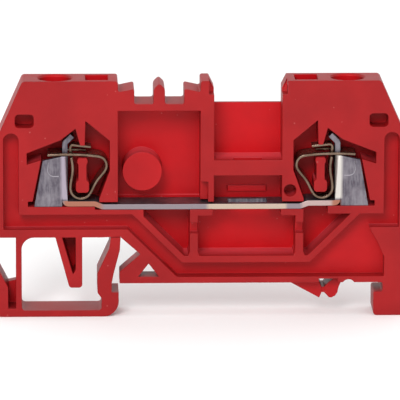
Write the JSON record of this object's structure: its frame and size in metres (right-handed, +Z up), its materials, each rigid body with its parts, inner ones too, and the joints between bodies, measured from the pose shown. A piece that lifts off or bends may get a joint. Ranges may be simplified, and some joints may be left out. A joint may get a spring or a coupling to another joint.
{
  "type": "rail terminal block",
  "caption": "Feed-through terminal block slice for a 35 mm rail, with a spring clamp at each end, a current bar between them, a snap foot and an open side.",
  "frame": {"origin": "on the face that sits on the rail, below the middle of the moulding's length and thickness", "axes": "+X along the block towards its fixed foot, +Y out of the closed back, +Z up away from the rail"},
  "size_m": [0.053, 0.0063, 0.031],
  "materials": {
    "red_polyamide": "satin moulded, fine grain",
    "tinned_copper": "dull tin over copper, with copper showing at the cut edges",
    "spring_steel": "rolled strip, straw-brown"
  },
  "bodies": {
    "root": {"housing": "red_polyamide", "current_bar": "tinned_copper", "left_spring_back_leg": "spring_steel", "right_spring_back_leg": "spring_steel", "left_spring_loop": "spring_steel", "right_spring_loop": "spring_steel", "foot_column": "red_polyamide", "foot_arm": "red_polyamide", "nose_neck": "red_polyamide", "nose_bridge": "red_polyamide"},
    "latch": {"rail_latch": "red_polyamide"},
    "nose": {"nose_lug": "red_polyamide"},
    "left_arm": {"left_spring_arm": "spring_steel", "left_spring_shoulder": "spring_steel"},
    "left_leg": {"left_spring_clamp_leg": "spring_steel"},
    "right_arm": {"right_spring_arm": "spring_steel", "right_spring_shoulder": "spring_steel"},
    "right_leg": {"right_spring_clamp_leg": "spring_steel"}
  },
  "joints": [
    {"name": "latch_slide", "type": "slide", "parent": "root", "child": "latch", "axis": [-1, 0, 0], "range_m": [0, 0.0016], "stiffness_N_per_m": 500, "deforming": ["foot_column", "foot_arm"]},
    {"name": "nose_flex", "type": "hinge", "parent": "root", "child": "nose", "pos_m": [0.0179, 0, -0.0001], "axis": [0, 1, 0], "range_deg": [0, 7], "stiffness_Nm_per_rad": 0.0005, "deforming": ["nose_neck", "nose_bridge"]},
    {"name": "left_arm_flex", "type": "hinge", "parent": "root", "child": "left_arm", "pos_m": [-0.0155, -0.0004, 0.0125], "axis": [0, -1, 0], "range_deg": [0, 24], "stiffness_Nm_per_rad": 0.0005, "deforming": ["left_spring_loop"]},
    {"name": "left_leg_flex", "type": "hinge", "parent": "left_arm", "child": "left_leg", "pos_m": [-0.0134, -0.0004, 0.0155], "axis": [0, -1, 0], "range_deg": [-15, 0], "deforming": ["left_spring_shoulder"]},
    {"name": "right_arm_flex", "type": "hinge", "parent": "root", "child": "right_arm", "pos_m": [0.0155, -0.0004, 0.0125], "axis": [0, 1, 0], "range_deg": [0, 24], "stiffness_Nm_per_rad": 0.0005, "deforming": ["right_spring_loop"]},
    {"name": "right_leg_flex", "type": "hinge", "parent": "right_arm", "child": "right_leg", "pos_m": [0.0134, -0.0004, 0.0155], "axis": [0, 1, 0], "range_deg": [-15, 0], "deforming": ["right_spring_shoulder"]}
  ],
  "couplings": [
    {"joint": "left_leg_flex", "follows": "left_arm_flex", "ratio": -0.6},
    {"joint": "right_leg_flex", "follows": "right_arm_flex", "ratio": -0.6}
  ]
}
